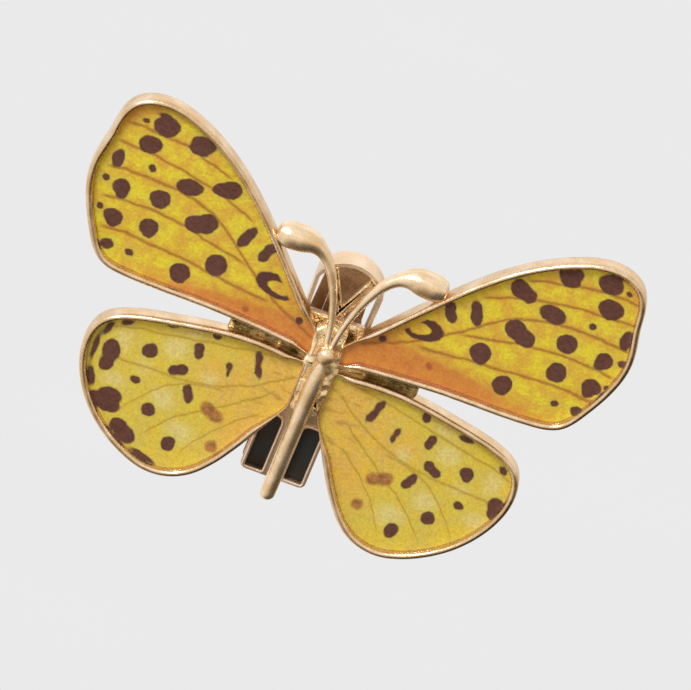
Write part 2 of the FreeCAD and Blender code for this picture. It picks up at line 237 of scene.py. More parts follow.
# The same outlines as the CAD trays, drawn on towards the body at the root.
FOREWING = [(1.25, 1.66), (7.9, 9.4), (15.8, 17.1), (20.7, 19.9), (25.2, 20.8), (28.0, 19.6), (29.1, 17.3),
            (29.35, 15.3), (29.75, 13.2), (29.95, 11.0), (29.2, 7.5), (27.6, 4.1), (25.5, 1.4), (22.5, 0.65),
            (14.0, 0.5), (1.25, -0.45)]
HINDWING = [(1.6, -1.32), (7.9, -0.85), (15.8, -1.95), (20.5, -3.1), (23.1, -4.7), (24.0, -7.4),
            (23.1, -11.5), (20.0, -15.8), (16.4, -18.3), (12.6, -19.4), (9.2, -18.5), (6.7, -16.1),
            (4.0, -11.6), (1.6, -6.8)]
WINGS = {"forewing": FOREWING, "hindwing": HINDWING}
EDGE_POINTS = 400           # on the smooth edge, before its root corners are rounded
OUTLINE_POINTS = 420
ROOT_CORNER = 0.45          # how far the rounding of the two root corners reaches
ROOT_RIM = (2.0, 4.0)       # the rim grows from nearly nothing to its full width between these distances
ROOT_RIM_SHARE = 0.2
FILM_Z = 1.15               # back of the visible print
FILM_TOP = 1.3
RESIN_Z = 1.9               # surface of the resin
GAP = 0.005                 # between the tray's floor and the print


def wing_outline(points):
    """The closed outer edge of a right-hand wing, clockwise."""
    edge = smooth_line(points, EDGE_POINTS)
    body = [p for p in edge if min((p - edge[0]).length, (p - edge[-1]).length) > ROOT_CORNER]
    first = round_corner(edge[-1], edge[0], body[0], ROOT_CORNER)
    last = round_corner(body[-1], edge[-1], edge[0], ROOT_CORNER)
    return resample(first + body + last, OUTLINE_POINTS, closed=True)


OUTLINES = {name: wing_outline(points) for name, points in WINGS.items()}


def rim_shares(outline):
    """How much of the rim's width and height each point of the outline has: little at the root."""
    return [ROOT_RIM_SHARE + (1 - ROOT_RIM_SHARE) * smoothstep(*ROOT_RIM, point.x) for point in outline]


# ---- Node helpers ----------------------------------------------------


class Tree:
    """Adds shader nodes to a material. A node's inputs are numbers, tuples or other nodes' sockets."""

    def __init__(self, name):
        self.material = bpy.data.materials.new(name)
        self.material.use_nodes = True
        self.tree = self.material.node_tree
        self.tree.nodes.clear()
        self.output = self.tree.nodes.new("ShaderNodeOutputMaterial")

    def feed(self, socket, value):
        if isinstance(value, bpy.types.NodeSocket):
            self.tree.links.new(value, socket)
        elif value is not None:
            socket.default_value = value

    def node(self, kind, inputs=None, **settings):
        made = self.tree.nodes.new(kind)
        for key, value in settings.items():
            setattr(made, key, value)
        for key, value in (inputs or {}).items():
            self.feed(made.inputs[key], value)
        return made

    def math(self, operation, a, b=None, c=None):
        return self.node("ShaderNodeMath", {0: a, 1: b, 2: c}, operation=operation).outputs[0]

    def vector(self, operation, a, b=None):
        made = self.node("ShaderNodeVectorMath", {0: a, 1: b}, operation=operation)
        return made.outputs["Value" if operation in ("DOT_PRODUCT", "LENGTH") else "Vector"]

    def ramp(self, value, low, high, to_low=0.0, to_high=1.0, kind="SMOOTHSTEP"):
        made = self.node("ShaderNodeMapRange", {0: value, 1: low, 2: high, 3: to_low, 4: to_high},
                         interpolation_type=kind)
        return made.outputs[0]

    def mix(self, factor, a, b, blend="MIX"):
        made = self.node("ShaderNodeMix", data_type="RGBA", blend_type=blend)
        self.feed(made.inputs[0], factor)
        self.feed(made.inputs[6], a)
        self.feed(made.inputs[7], b)
        return made.outputs[2]

    def noise(self, vector, scale, detail=2.0, roughness=0.5):
        return self.node("ShaderNodeTexNoise", {"Vector": vector, "Scale": scale, "Detail": detail,
                                                "Roughness": roughness})

    def place(self):
        """Coordinates in millimetres in the row frame."""
        coordinate = self.node("ShaderNodeTexCoord").outputs["Object"]
        return self.scaled(coordinate, (1 / MM, 1 / MM, 1 / MM))

    def scaled(self, vector, scale):
        return self.vector("MULTIPLY", vector, scale)

    def principled(self, **inputs):
        made = self.node("ShaderNodeBsdfPrincipled")
        for key, value in inputs.items():
            self.feed(made.inputs[key.replace("_", " ")], value)
        self.tree.links.new(made.outputs[0], self.output.inputs[0])
        return made

    def bump(self, height, strength, distance):
        inputs = {"Height": height, "Strength": strength, "Distance": distance}
        return self.node("ShaderNodeBump", inputs).outputs[0]


def srgb(r, g, b):
    """A linear colour with alpha from 0 to 255 screen values."""
    def channel(v):
        v /= 255
        return v / 12.92 if v <= 0.04045 else ((v + 0.055) / 1.055) ** 2.4
    return (channel(r), channel(g), channel(b), 1.0)


# ---- Metals, rubber, resin -------------------------------------------

def gold(name, colour, dark, rough, streak=(1.2, 1.2, 1.2), lumps=0.25, metallic=1.0):
    """Plated metal: colour that thins in places towards dark, soft lumps from the casting and fine polishing
    marks. In the groove gold, whose dark is near black, the thin places are painted shade rather than wear.

    rough is the range of its roughness, streak stretches the polishing marks, lumps is how uneven it is.
    """
    t = Tree(name)
    place = t.place()
    broad = t.noise(place, 0.55, 3.0).outputs[0]
    fine = t.noise(t.scaled(place, streak), 3.5, 4.0, 0.6).outputs[0]
    grain = t.noise(place, 14.0, 2.0, 0.7).outputs[0]
    # Darker patches: plating wear, and painted shade where dark is near black, as in the groove gold.
    wear_and_painted_shade = t.ramp(t.math("ADD", t.math("MULTIPLY", broad, 0.6), t.math("MULTIPLY", fine, 0.4)), 0.38, 0.66)
    tone = t.mix(wear_and_painted_shade, dark, colour)
    roughness = t.ramp(t.math("ADD", t.math("MULTIPLY", fine, 0.7), t.math("MULTIPLY", grain, 0.3)),
                       0.32, 0.68, rough[0], rough[1], "LINEAR")
    height = t.math("ADD", t.math("MULTIPLY", broad, lumps), t.math("MULTIPLY", fine, 0.12))
    height = t.math("ADD", height, t.math("MULTIPLY", grain, 0.03))
    t.principled(Base_Color=tone, Metallic=metallic, Roughness=roughness,
                 Normal=t.bump(height, 0.5, 0.00012))
    return t.material


def rubber():
    """Black rubber with a faint grain."""
    t = Tree("grip_rubber")
    place = t.place()
    grain = t.noise(place, 9.0, 4.0, 0.7).outputs[0]
    patches = t.noise(place, 0.35, 2.0).outputs[0]
    tone = t.mix(t.ramp(patches, 0.4, 0.6), srgb(52, 41, 32), srgb(42, 52, 54))
    rough = t.ramp(grain, 0.3, 0.7, 0.42, 0.7, "LINEAR")
    t.principled(Base_Color=tone, Roughness=rough, Normal=t.bump(grain, 0.5, 0.00005))
    return t.material


def resin():
    """Clear resin: it lets everything through and mirrors like glass at its surface."""
    t = Tree("clear_resin")
    place = t.place()
    waves = t.noise(place, 0.16, 1.0).outputs[0]
    normal = t.bump(waves, 0.25, 0.0008)
    mirror = t.principled(Base_Color=(1, 1, 1, 1), Metallic=1.0, Roughness=0.04, Normal=normal)
    clear = t.node("ShaderNodeBsdfTransparent", {"Color": (0.985, 0.98, 0.965, 1)})
    facing = t.node("ShaderNodeFresnel", {"IOR": 1.5, "Normal": normal}).outputs[0]
    outside = t.math("SUBTRACT", 1.0, t.node("ShaderNodeNewGeometry").outputs["Backfacing"])
    share = t.math("MULTIPLY", facing, outside)
    both = t.node("ShaderNodeMixShader", {0: share, 1: clear.outputs[0], 2: mirror.outputs[0]})
    t.tree.links.new(both.outputs[0], t.output.inputs[0])
    return t.material


# ---- Printed film ----------------------------------------------------

# Ellipses: x, y, half width, half height, turn in degrees, in the print's own millimetres.
FORE_SPOTS = [(20.6, 18.5, 1.35, 1.0, 0), (20.9, 17.7, 1.1, 0.7, 0), (24.9, 18.9, 1.45, 1.1, -10),
              (25.9, 16.3, 1.35, 1.15, 0), (24.8, 13.75, 0.45, 0.42, 0), (28.6, 13.5, 0.75, 1.15, 0),
              (16.2, 14.7, 1.2, 1.05, -15), (17.3, 14.3, 0.9, 0.8, 0), (20.35, 13.3, 1.5, 1.0, -8),
              (22.9, 10.7, 1.15, 1.1, 0), (27.2, 10.5, 1.0, 0.95, 0), (26.9, 9.8, 0.65, 0.7, 0),
              (17.3, 10.1, 1.2, 1.15, -35), (18.5, 9.5, 1.15, 1.05, 0), (22.9, 7.2, 1.1, 1.15, 0),
              (26.9, 7.0, 1.05, 0.95, 0), (26.7, 6.4, 0.7, 0.7, 0), (14.7, 6.0, 1.2, 1.25, 0),
              (18.1, 3.55, 1.1, 1.15, 0), (23.9, 3.75, 0.5, 0.38, 0), (26.5, 3.8, 0.8, 0.65, 0),
              (13.0, 9.8, 0.95, 0.62, -62), (12.6, 10.8, 0.9, 0.6, -62), (10.4, 8.9, 0.8, 0.62, -58),
              (10.0, 9.9, 0.8, 0.6, -58), (4.45, 3.45, 0.42, 0.4, 0), (29.1, 10.9, 0.45, 0.4, 0),
              (28.5, 7.55, 0.4, 0.4, 0), (25.4, 20.0, 0.8, 0.3, 0), (27.2, 18.6, 0.4, 0.3, 0)]
FORE_FAINT = [(10.15, 2.45, 0.4, 0.38, 0)]
FORE_LOOP = (7.9, 6.2, 1.75, 0.95, 8)
LOOP_OPENS = (-0.73, 0.68, 0.0)         # the loop is open towards the wing's leading edge
HIND_SPOTS = [(18.0, -6.8, 0.8, 0.9, 0), (18.4, -10.5, 0.52, 0.48, 0), (15.9, -13.2, 0.78, 0.78, 0),
              (12.7, -16.1, 0.78, 0.85, 0), (13.3, -4.5, 0.55, 0.62, 0), (13.1, -5.2, 0.5, 0.55, 0),
              (14.1, -7.5, 0.62, 0.66, 0), (14.9, -7.9, 0.66, 0.55, -30), (12.75, -9.5, 0.5, 0.7, -10),
              (12.4, -10.3, 0.5, 0.7, -10), (9.6, -5.2, 0.34, 0.5, -10), (9.4, -6.1, 0.26, 0.45, -10),
              (6.95, -3.1, 0.42, 0.8, -18), (6.5, -4.5, 0.4, 0.9, -20), (11.9, -2.3, 0.55, 0.6, 0),
              (16.7, -3.0, 0.8, 0.4, 0)]
# The print was cut differently on the two sides, so the marks along the margin differ.
HIND_EDGE_SPOTS = {
    "left": [(21.9, -8.4, 0.95, 1.3, 0), (21.9, -9.9, 0.8, 0.95, 0), (20.3, -13.4, 1.3, 1.0, 0),
             (20.1, -14.4, 1.2, 0.9, 0), (21.6, -14.3, 0.9, 0.9, 0), (17.4, -16.9, 1.3, 0.95, 30),
             (18.4, -16.2, 0.9, 0.9, 0), (14.7, -18.6, 1.6, 0.35, 12), (21.3, -4.7, 0.7, 0.4, -40),
             (22.9, -6.1, 0.4, 0.9, 20), (23.6, -8.6, 0.3, 1.7, 0), (22.9, -12.0, 0.5, 1.2, -20)],
    "right": [(22.1, -8.9, 0.8, 1.0, 0), (22.3, -9.9, 0.8, 0.8, 0), (20.6, -14.7, 1.2, 0.8, 0),
              (17.7, -17.9, 1.2, 0.45, 20), (21.5, -4.9, 0.55, 0.4, -40)]}
HIND_FAINT = [(10.1, -10.7, 0.95, 0.8, 35), (9.0, -11.2, 0.85, 0.7, 20), (8.35, -14.6, 0.65, 0.65, 0)]
HIND_PALE = [(15.5, -5.5, 1.2, 1.2, 0), (21.0, -6.8, 0.8, 1.4, 0), (12.0, -14.5, 1.5, 1.1, 20),
             (15.0, -11.5, 1.2, 1.1, 0), (14.5, -3.2, 1.1, 0.5, 0), (20.5, -11.5, 1.1, 0.8, 0),
             (11.0, -7.5, 0.8, 0.8, 0), (18.0, -8.8, 0.8, 0.6, 0)]
HIND_OCHRE = [(5.0, -5.0, 4.0, 3.5, 0), (9.5, -7.0, 3.0, 2.4, 20), (6.0, -11.0, 2.5, 4.0, 20)]

# Each vein: points along it, half width.
FORE_VEINS = [([(2.0, 2.0), (6, 3.7), (8.5, 5.1), (10.5, 6.5), (13, 8.5), (15, 10.0), (17, 11.3), (20, 12.2),
                (23, 12.6), (26, 12.6), (29.5, 12.3)], 0.17),
              ([(12, 7.3), (15, 7.9), (18, 8.6), (22, 9.2), (25, 9.2), (29, 8.9)], 0.15),
              ([(8.2, 4.2), (12, 4.5), (16, 5.0), (20, 5.4), (24, 5.6), (28, 5.4)], 0.16),
              ([(12.7, 12.2), (16, 13.5), (19, 14.3), (23, 15.0), (27, 15.4), (29.4, 15.4)], 0.14),
              ([(16.5, 15.9), (20, 17.0), (23, 17.7), (26, 17.9), (29, 17.8)], 0.14)]
HIND_VEINS = [([(4, -2.0), (8, -2.6), (12, -3.4), (17, -4.4), (20, -5.0), (23, -6.0)], 0.12),
              ([(2.5, -3.5), (8, -7.0), (12, -8.3), (16, -8.7), (22, -8.9)], 0.13),
              ([(9, -8.0), (14.5, -9.6), (17, -12), (19, -14.5)], 0.12),
              ([(4, -6.0), (9, -10.0), (13, -13.0), (16, -16.5)], 0.13),
              ([(4.5, -9.0), (8, -12.0), (10, -14.5), (11.5, -17.5)], 0.12)]

# How each print lies in its tray: the print's x and y, each as factors of the tray's x, y and 1.
PRINT_LIE = {"right_forewing": ((1.020, 0.017, -0.63), (0.019, 1.027, -0.66)),
             "left_forewing": ((1.024, -0.006, 0.50), (-0.019, 1.029, 0.88)),
             "right_hindwing": ((1.013, 0.016, -0.50), (0.020, 1.013, 0.18)),
             "left_hindwing": ((1.016, -0.007, 0.61), (-0.020, 1.014, 0.11))}

# Colours of the print. A pair is mixed in soft patches.
PRINT_BROWN = (srgb(84, 38, 30), srgb(102, 54, 42))
PRINT_SPECKLE = srgb(206, 140, 44)
FORE_YELLOW = (srgb(232, 216, 44), srgb(222, 180, 56))
FORE_ORANGE = (srgb(200, 116, 46), srgb(222, 158, 58))
FORE_MARGIN = srgb(212, 128, 54)
FORE_HALO = srgb(214, 204, 66)
FORE_VEIN, FORE_VEIN_GLOW = srgb(148, 92, 26), srgb(222, 160, 48)
FORE_FAINT_SPOT = srgb(160, 62, 34)
HIND_YELLOW = (srgb(230, 206, 62), srgb(220, 200, 84))
HIND_BASE = (srgb(236, 190, 70), srgb(230, 184, 98))
HIND_WHITE = srgb(228, 218, 150)
HIND_HALO = srgb(214, 204, 84)
HIND_VEIN, HIND_VEIN_GLOW = srgb(172, 138, 40), srgb(220, 188, 50)
HIND_SMUDGE = srgb(160, 112, 58)
HIND_FAINT_SPOT = (srgb(140, 78, 44), srgb(178, 112, 66))

# Where the forewing's colours lie, in the print's millimetres.
ORANGE_SLOPE, ORANGE_HEIGHT = -0.11, 5.5    # the orange strip lies under this line
ORANGE_DEPTH = (-0.8, 2.2)                  # it fades in between these distances under the line
ORANGE_X = (23.5, 14.0)                     # and towards the root between these x
ROOT_X = (11.0, 3.0)
TIP_X_PLUS_Y = (44.6, 47.2)
MARGIN_SLOPE, MARGIN_Y = 0.12, (4.9, 4.2)
LOOP_X, LOOP_HALF_LINE = (6.2, 9.2), (0.16, 0.42)   # the loop's line is thicker on its outer side
HALO = (0.8, 0.05)                          # a paler ring round the spots, between these distances
SLOW_WOBBLE, SLOW_SCALE = 0.55, 0.45        # amplitude in millimetres, and how many per millimetre
QUICK_WOBBLE, QUICK_SCALE = 0.22, 2.2


CURVE_FIELD = (30.0, 44.0, -22.0)           # width, height and lowest y that the veins' curves span


def print_place(t, wing):
    """Position on the print in its own millimetres, without and with the wobble of its hand-drawn lines."""
    side = 1 if wing.startswith("right") else -1
    parts = t.node("ShaderNodeSeparateXYZ", {0: t.place()})
    x = t.math("MULTIPLY", t.math("SUBTRACT", parts.outputs[0], MIDDLE_X / MM), side)
    y = t.math("SUBTRACT", parts.outputs[2], PIN.z / MM)
    tray = t.node("ShaderNodeCombineXYZ", {0: x, 1: y, 2: 1.0}).outputs[0]
    rows = [t.vector("DOT_PRODUCT", tray, row) for row in PRINT_LIE[wing]]
    flat = t.node("ShaderNodeCombineXYZ", {0: rows[0], 1: rows[1], 2: 0.0}).outputs[0]
    moved = flat
    for scale, size in ((SLOW_SCALE, SLOW_WOBBLE), (QUICK_SCALE, QUICK_WOBBLE)):
        seed = t.vector("ADD", flat, (0, 0, 3.0 * len(wing) * side))
        push = t.vector("SUBTRACT", t.noise(seed, scale, 1.0).outputs[1], (0.5, 0.5, 0.5))
        moved = t.vector("ADD", moved, t.scaled(push, (size, size, 0)))
    return flat, moved


def ellipse_distance(t, place, spot):
    """Roughly the distance in millimetres outside an ellipse; negative inside it."""
    x, y, half_width, half_height, turn = spot
    mapped = t.node("ShaderNodeMapping", {"Vector": place, "Location": (x, y, 0),
                                          "Rotation": (0, 0, math.radians(turn)),
                                          "Scale": (half_width, half_height, 1)}, vector_type="TEXTURE")
    size = min(half_width, half_height)
    return t.math("MULTIPLY_ADD", t.vector("LENGTH", mapped.outputs[0]), size, -size)


def blobs(t, place, spots, soft, join=0.5):
    """1 inside any of the ellipses, 0 outside, with a soft edge; and the distance itself."""
    nearest = None
    for spot in spots:
        distance = ellipse_distance(t, place, spot)
        nearest = distance if nearest is None else t.math("SMOOTH_MIN", nearest, distance, join)
    return t.ramp(nearest, soft, -soft), nearest


def vein(t, place, points, half_width):
    """A line along a curve y = f(x) that fades at its ends, and the glow of ink beside it."""
    span_x, span_y, low_y = CURVE_FIELD
    parts = t.node("ShaderNodeSeparateXYZ", {0: place})
    curve = t.node("ShaderNodeFloatCurve", {"Value": t.math("DIVIDE", parts.outputs[0], span_x)})
    line = curve.mapping.curves[0]
    scaled = [(x / span_x, (y - low_y) / span_y) for x, y in points]
    line.points[0].location = scaled[0]
    line.points[1].location = scaled[-1]
    for point in scaled[1:-1]:
        line.points.new(*point)
    curve.mapping.update()
    height = t.math("MULTIPLY_ADD", curve.outputs[0], span_y, low_y)
    off = t.math("ABSOLUTE", t.math("SUBTRACT", parts.outputs[1], height))
    start = t.ramp(parts.outputs[0], points[0][0] - 0.3, points[0][0] + 0.8)
    end = t.ramp(parts.outputs[0], points[-1][0] + 0.3, points[-1][0] - 0.8)
    share = t.math("MULTIPLY", start, end)
    return (t.math("MULTIPLY", t.ramp(off, half_width * 1.9, half_width * 0.3), share),
            t.math("MULTIPLY", t.ramp(off, half_width * 6, 0.0), share))


def veins(t, place, lines):
    core, glow = 0.0, 0.0
    for points, half_width in lines:
        one_core, one_glow = vein(t, place, points, half_width)
        core, glow = t.math("MAXIMUM", core, one_core), t.math("MAXIMUM", glow, one_glow)
    return core, glow


def patchy(t, place, scale, low, high, colours):
    """A mix of two colours in soft patches."""
    return t.mix(t.ramp(t.noise(place, scale, 3.0, 0.6).outputs[0], low, high), *colours)


def finish_print(t, place, colour):
    """Paper grain and the unevenness of the ink."""
    ink = t.noise(place, 1.5, 4.0, 0.65).outputs[0]
    grain = t.noise(place, 3.2, 4.0, 0.85).outputs[0]
    light = t.node("ShaderNodeSeparateColor", {0: colour}).outputs[0]
    speckle = t.math("MULTIPLY", t.ramp(ink, 0.4, 0.75, 0.0, 0.3), t.ramp(light, 0.15, 0.5))
    colour = t.mix(speckle, colour, PRINT_SPECKLE)
    shade = t.ramp(grain, 0.32, 0.68, 0.78, 1.18, "LINEAR")
    grey = t.node("ShaderNodeCombineColor", {0: shade, 1: shade, 2: shade}).outputs[0]
    t.principled(Base_Color=t.mix(1.0, colour, grey, "MULTIPLY"), Roughness=0.6)
    return t.material


def open_loop(t, place, x):
    """1 on the line of the loop near the forewing's root, which is open towards the leading edge."""
    off_line = t.math("ABSOLUTE", ellipse_distance(t, place, FORE_LOOP))
    half_line = t.ramp(x, *LOOP_X, *LOOP_HALF_LINE, "LINEAR")
    ring = t.ramp(t.math("SUBTRACT", off_line, half_line), 0.1, -0.1)
    from_middle = t.vector("SUBTRACT", place, (FORE_LOOP[0], FORE_LOOP[1], 0.0))
    return t.math("MULTIPLY", ring, t.ramp(t.vector("DOT_PRODUCT", from_middle, LOOP_OPENS), 0.85, 0.55))


def forewing_print(wing):
    t = Tree(f"{wing}_print")
    flat, place = print_place(t, wing)
    parts = t.node("ShaderNodeSeparateXYZ", {0: place})
    x, y = parts.outputs[0], parts.outputs[1]
    spots, distance = blobs(t, place, FORE_SPOTS, 0.1)
    faint, _ = blobs(t, place, FORE_FAINT, 0.18)
    core, glow = veins(t, place, FORE_VEINS)
    colour = patchy(t, flat, 0.6, 0.38, 0.62, FORE_YELLOW)
    colour = t.mix(t.math("MULTIPLY", glow, 0.5), colour, FORE_VEIN_GLOW)
    halo_share = t.ramp(t.noise(flat, 0.8).outputs[0], 0.4, 0.6, 0.1, 0.7)
    colour = t.mix(t.math("MULTIPLY", t.ramp(distance, *HALO), halo_share), colour, FORE_HALO)
    under = t.math("SUBTRACT", t.math("MULTIPLY_ADD", x, ORANGE_SLOPE, ORANGE_HEIGHT), y)
    strip = t.math("MULTIPLY", t.ramp(under, *ORANGE_DEPTH), t.ramp(x, *ORANGE_X))
    root = t.math("MULTIPLY", t.ramp(x, *ROOT_X), 0.8)
    orange = patchy(t, flat, 0.9, 0.3, 0.7, FORE_ORANGE)
    colour = t.mix(t.math("MAXIMUM", strip, root), colour, orange)
    tip = t.ramp(t.math("ADD", x, y), *TIP_X_PLUS_Y, 0.0, 0.6)
    margin = t.ramp(t.math("MULTIPLY_ADD", x, MARGIN_SLOPE, y), *MARGIN_Y, 0.0, 0.5)
    colour = t.mix(t.math("MAXIMUM", tip, margin), colour, FORE_MARGIN)
    colour = t.mix(t.math("MULTIPLY", core, 0.72), colour, FORE_VEIN)
    colour = t.mix(t.math("MULTIPLY", faint, 0.75), colour, FORE_FAINT_SPOT)
    colour = t.mix(open_loop(t, place, x), colour, PRINT_BROWN[0])
    colour = t.mix(spots, colour, patchy(t, flat, 1.6, 0.3, 0.7, PRINT_BROWN))
    return finish_print(t, flat, colour)


def hindwing_print(wing):
    t = Tree(f"{wing}_print")
    flat, place = print_place(t, wing)
    x = t.node("ShaderNodeSeparateXYZ", {0: place}).outputs[0]
    spots, distance = blobs(t, place, HIND_SPOTS + HIND_EDGE_SPOTS[wing.split("_")[0]], 0.11)
    faint, _ = blobs(t, place, HIND_FAINT, 0.25)
    pale, _ = blobs(t, place, HIND_PALE, 0.8)
    ochre, _ = blobs(t, place, HIND_OCHRE, 1.8)
    core, glow = veins(t, place, HIND_VEINS)
    colour = patchy(t, flat, 0.4, 0.35, 0.65, HIND_YELLOW)
    base = patchy(t, flat, 0.6, 0.35, 0.65, HIND_BASE)
    colour = t.mix(t.math("MULTIPLY", ochre, 0.8), colour, base)
    colour = t.mix(t.math("MULTIPLY", pale, 0.75), colour, HIND_WHITE)
    colour = t.mix(t.ramp(distance, *HALO, 0.0, 0.4), colour, HIND_HALO)
    colour = t.mix(t.math("MULTIPLY", glow, 0.35), colour, HIND_VEIN_GLOW)
    colour = t.mix(t.math("MULTIPLY", core, 0.55), colour, HIND_VEIN)
    streaks = t.ramp(t.noise(t.scaled(flat, (0.5, 1.5, 1.0)), 0.9, 3.0).outputs[0], 0.5, 0.7)
    smudge = t.math("MULTIPLY", streaks, t.ramp(x, 8.5, 3.0, 0.0, 0.6))
    colour = t.mix(smudge, colour, HIND_SMUDGE)
    browns = patchy(t, flat, 1.5, 0.4, 0.6, HIND_FAINT_SPOT)
    colour = t.mix(t.math("MULTIPLY", faint, 0.9), colour, browns)
    colour = t.mix(spots, colour, patchy(t, flat, 1.6, 0.3, 0.7, PRINT_BROWN))
    return finish_print(t, flat, colour)


CAST_GOLD = gold("cast_gold", srgb(240, 214, 184), srgb(218, 184, 140), (0.12, 0.36))
BODY_GOLD = gold("body_gold", srgb(250, 228, 200), srgb(228, 196, 152), (0.10, 0.34),
                 streak=(3.0, 3.0, 0.5), metallic=0.86)
ROUGH_GOLD = gold("rough_gold", srgb(255, 236, 200), srgb(240, 204, 148), (0.10, 0.36),
                  lumps=1.2, metallic=0.8)
# Groove gold: its near-black olive dark tone is painted shade of the deep grooves between the wings.
GROOVE_GOLD_PAINTED_SHADE = gold("groove_gold_painted_shade", srgb(214, 190, 138), srgb(86, 76, 48), (0.12, 0.36),
                   streak=(0.5, 2.0, 3.0), lumps=2.2)
CLIP_GOLD = gold("clip_metal", srgb(240, 216, 190), srgb(226, 194, 158), (0.2, 0.4),
                 lumps=0.15, metallic=0.75)
FRAME_GOLD = gold("polished_clip_metal", srgb(255, 234, 216), srgb(242, 208, 182), (0.1, 0.24),
                  metallic=0.6)
UNPOLISHED = gold("unpolished_clip_metal", srgb(222, 186, 148), srgb(176, 136, 98), (0.42, 0.62),
                  metallic=0.55)
SPRING_WIRE = gold("spring_wire", srgb(228, 210, 184), srgb(196, 172, 140), (0.12, 0.28), lumps=0.05)
RUBBER = rubber()
RESIN = resin()

# ---- Wings -----------------------------------------------------------

# Cross-section of the tray's rim: distance in from the outer edge, height above the tray's back.
RIM_SECTION = [(0.35, 0.0), (0.12, 0.05), (0.02, 0.2), (0.0, 0.45), (0.0, 1.0), (0.0, 1.55), (0.03, 1.8),
               (0.1, 2.0), (0.22, 2.14), (0.38, 2.2), (0.52, 2.18), (0.64, 2.08), (0.72, 1.92), (0.76, 1.7),
               (0.78, 1.4), (0.78, FILM_Z)]
# The resin climbs a little up the rim.
RESIN_SECTION = [(0.795, FILM_TOP + 0.01), (0.795, 1.9), (0.8, 2.02), (0.86, 1.97), (0.95, 1.93),
                 (1.1, 1.905), (1.3, RESIN_Z)]


def section_rings(outline, section, side=1, shares=None, wobble=0.0):
    """Rings that follow the outline at each (distance in, height) of a cross-section.

    shares says how wide the rim is at each point of the outline, wobble how uneven its top is.
    """
    rings = []
    for depth, height in section:
        ring = []
        for i, point in enumerate(inset(outline, depth, shares)):
            share = shares[i] if shares else 1.0
            level = height if height < RESIN_Z else RESIN_Z + (height - RESIN_Z) * share
            bend = noise.noise(Vector((point.x, point.y, side * 7.0)) * 0.7)
            ring.append((point.x * side, point.y, level + bend * wobble * (height > RESIN_Z)))
        rings.append(ring)
    return rings


def build_wing(side_name, wing):
    side = 1 if side_name == "right" else -1
    name = f"{side_name}_{wing}"
    outline = OUTLINES[wing]
    shares = rim_shares(outline)
    verts, faces = loft(section_rings(outline, RIM_SECTION, side, shares, 0.05))
    new_piece(f"{name}_tray_cast", verts, faces, CAST_GOLD, [f"{name}_tray"], smooth_angle=60)
    film = [(0.79, FILM_Z + GAP), (0.79, FILM_TOP)]
    verts, faces = loft(section_rings(outline, film, side, shares))
    material = forewing_print(name) if wing == "forewing" else hindwing_print(name)
    new_piece(f"{name}_print", verts, faces, material, [f"{name}_film"], smooth_angle=40)
    verts, faces = loft(section_rings(outline, RESIN_SECTION, side, shares))
    new_piece(f"{name}_resin_fill", verts, faces, RESIN, [f"{name}_resin"], smooth_angle=50)


for side_name in ("left", "right"):
    for wing in WINGS:
        build_wing(side_name, wing)

# ---- Body, antennae --------------------------------------------------

# x, y, how far the centre is below the rims, radius, how much deeper the half towards the back is.
ANTENNA = [(0.25, 1.0, 0.1, 0.34, 1.3), (0.55, 3.2, 0.25, 0.38, 1.4), (1.15, 5.6, 0.45, 0.43, 1.6),
           (2.05, 8.0, 0.6, 0.50, 1.8), (3.1, 9.75, 0.75, 0.58, 2.0), (4.15, 10.75, 0.85, 0.70, 2.0),
           (5.2, 11.25, 0.9, 1.0, 1.9), (6.3, 11.35, 0.95, 1.30, 1.8), (7.4, 11.3, 0.95, 1.38, 1.7),
           (8.4, 11.3, 0.95, 1.32, 1.6), (8.95, 11.3, 0.95, 1.12, 1.5)]


def tube(path, sides=28):
    """Rings round a path of (x, y, z, radius, back) points. Their back half is back times as deep."""
    rings = []
    for i, point in enumerate(path):
        before, after = path[max(i - 1, 0)], path[min(i + 1, len(path) - 1)]
        along = (Vector(after[:3]) - Vector(before[:3])).normalized()
        across = along.cross(Vector((0, 0, 1))).normalized()
        up = across.cross(along).normalized()
        centre = Vector(point[:3])
        ring = []
        for k in range(sides):
            a = 2 * math.pi * k / sides
            height = math.sin(a) * (point[4] if len(point) > 4 and math.sin(a) < 0 else 1.0)
            ring.append(centre + (across * math.cos(a) + up * height) * point[3])
        rings.append(ring)
    return rings


def sweep(path, sides):
    """Rings round a path in space, turned from one to the next without twist."""
    rings = []
    across = None
    for i, point in enumerate(path):
        before, after = path[max(i - 1, 0)], path[min(i + 1, len(path) - 1)]
        along = (Vector(after[:3]) - Vector(before[:3])).normalized()
        across = along.orthogonal() if across is None else across - along * across.dot(along)
        across.normalize()
        up = along.cross(across)
        ring = []
        for k in range(sides):
            a = 2 * math.pi * k / sides
            ring.append(Vector(point[:3]) + (across * math.cos(a) + up * math.sin(a)) * point[3])
        rings.append(ring)
    return rings


END_STEPS = 7
LEAST_RADIUS = 0.01         # of the last ring of a round end


def round_end(tip, inner, bulge):
    """Shrinking sections beyond the tip of a path, away from its inner neighbour."""
    out = (Vector(tip[:3]) - Vector(inner[:3])).normalized()
    extra = []
    for i in range(1, END_STEPS + 1):
        a = math.pi / 2 * i / END_STEPS
        centre = Vector(tip[:3]) + out * (math.sin(a) * tip[3] * bulge)
        extra.append((*centre, max(tip[3] * math.cos(a), LEAST_RADIUS), *tip[4:]))
    return extra


def rounded_ends(path, start=True, bulge=1.0):
    """The path with a round end, and a round start if asked for. A bulge below 1 flattens them."""
    result = list(path)
    if start:
        result = round_end(path[0], path[1], bulge)[::-1] + result
    return result + round_end(path[-1], path[-2], bulge)


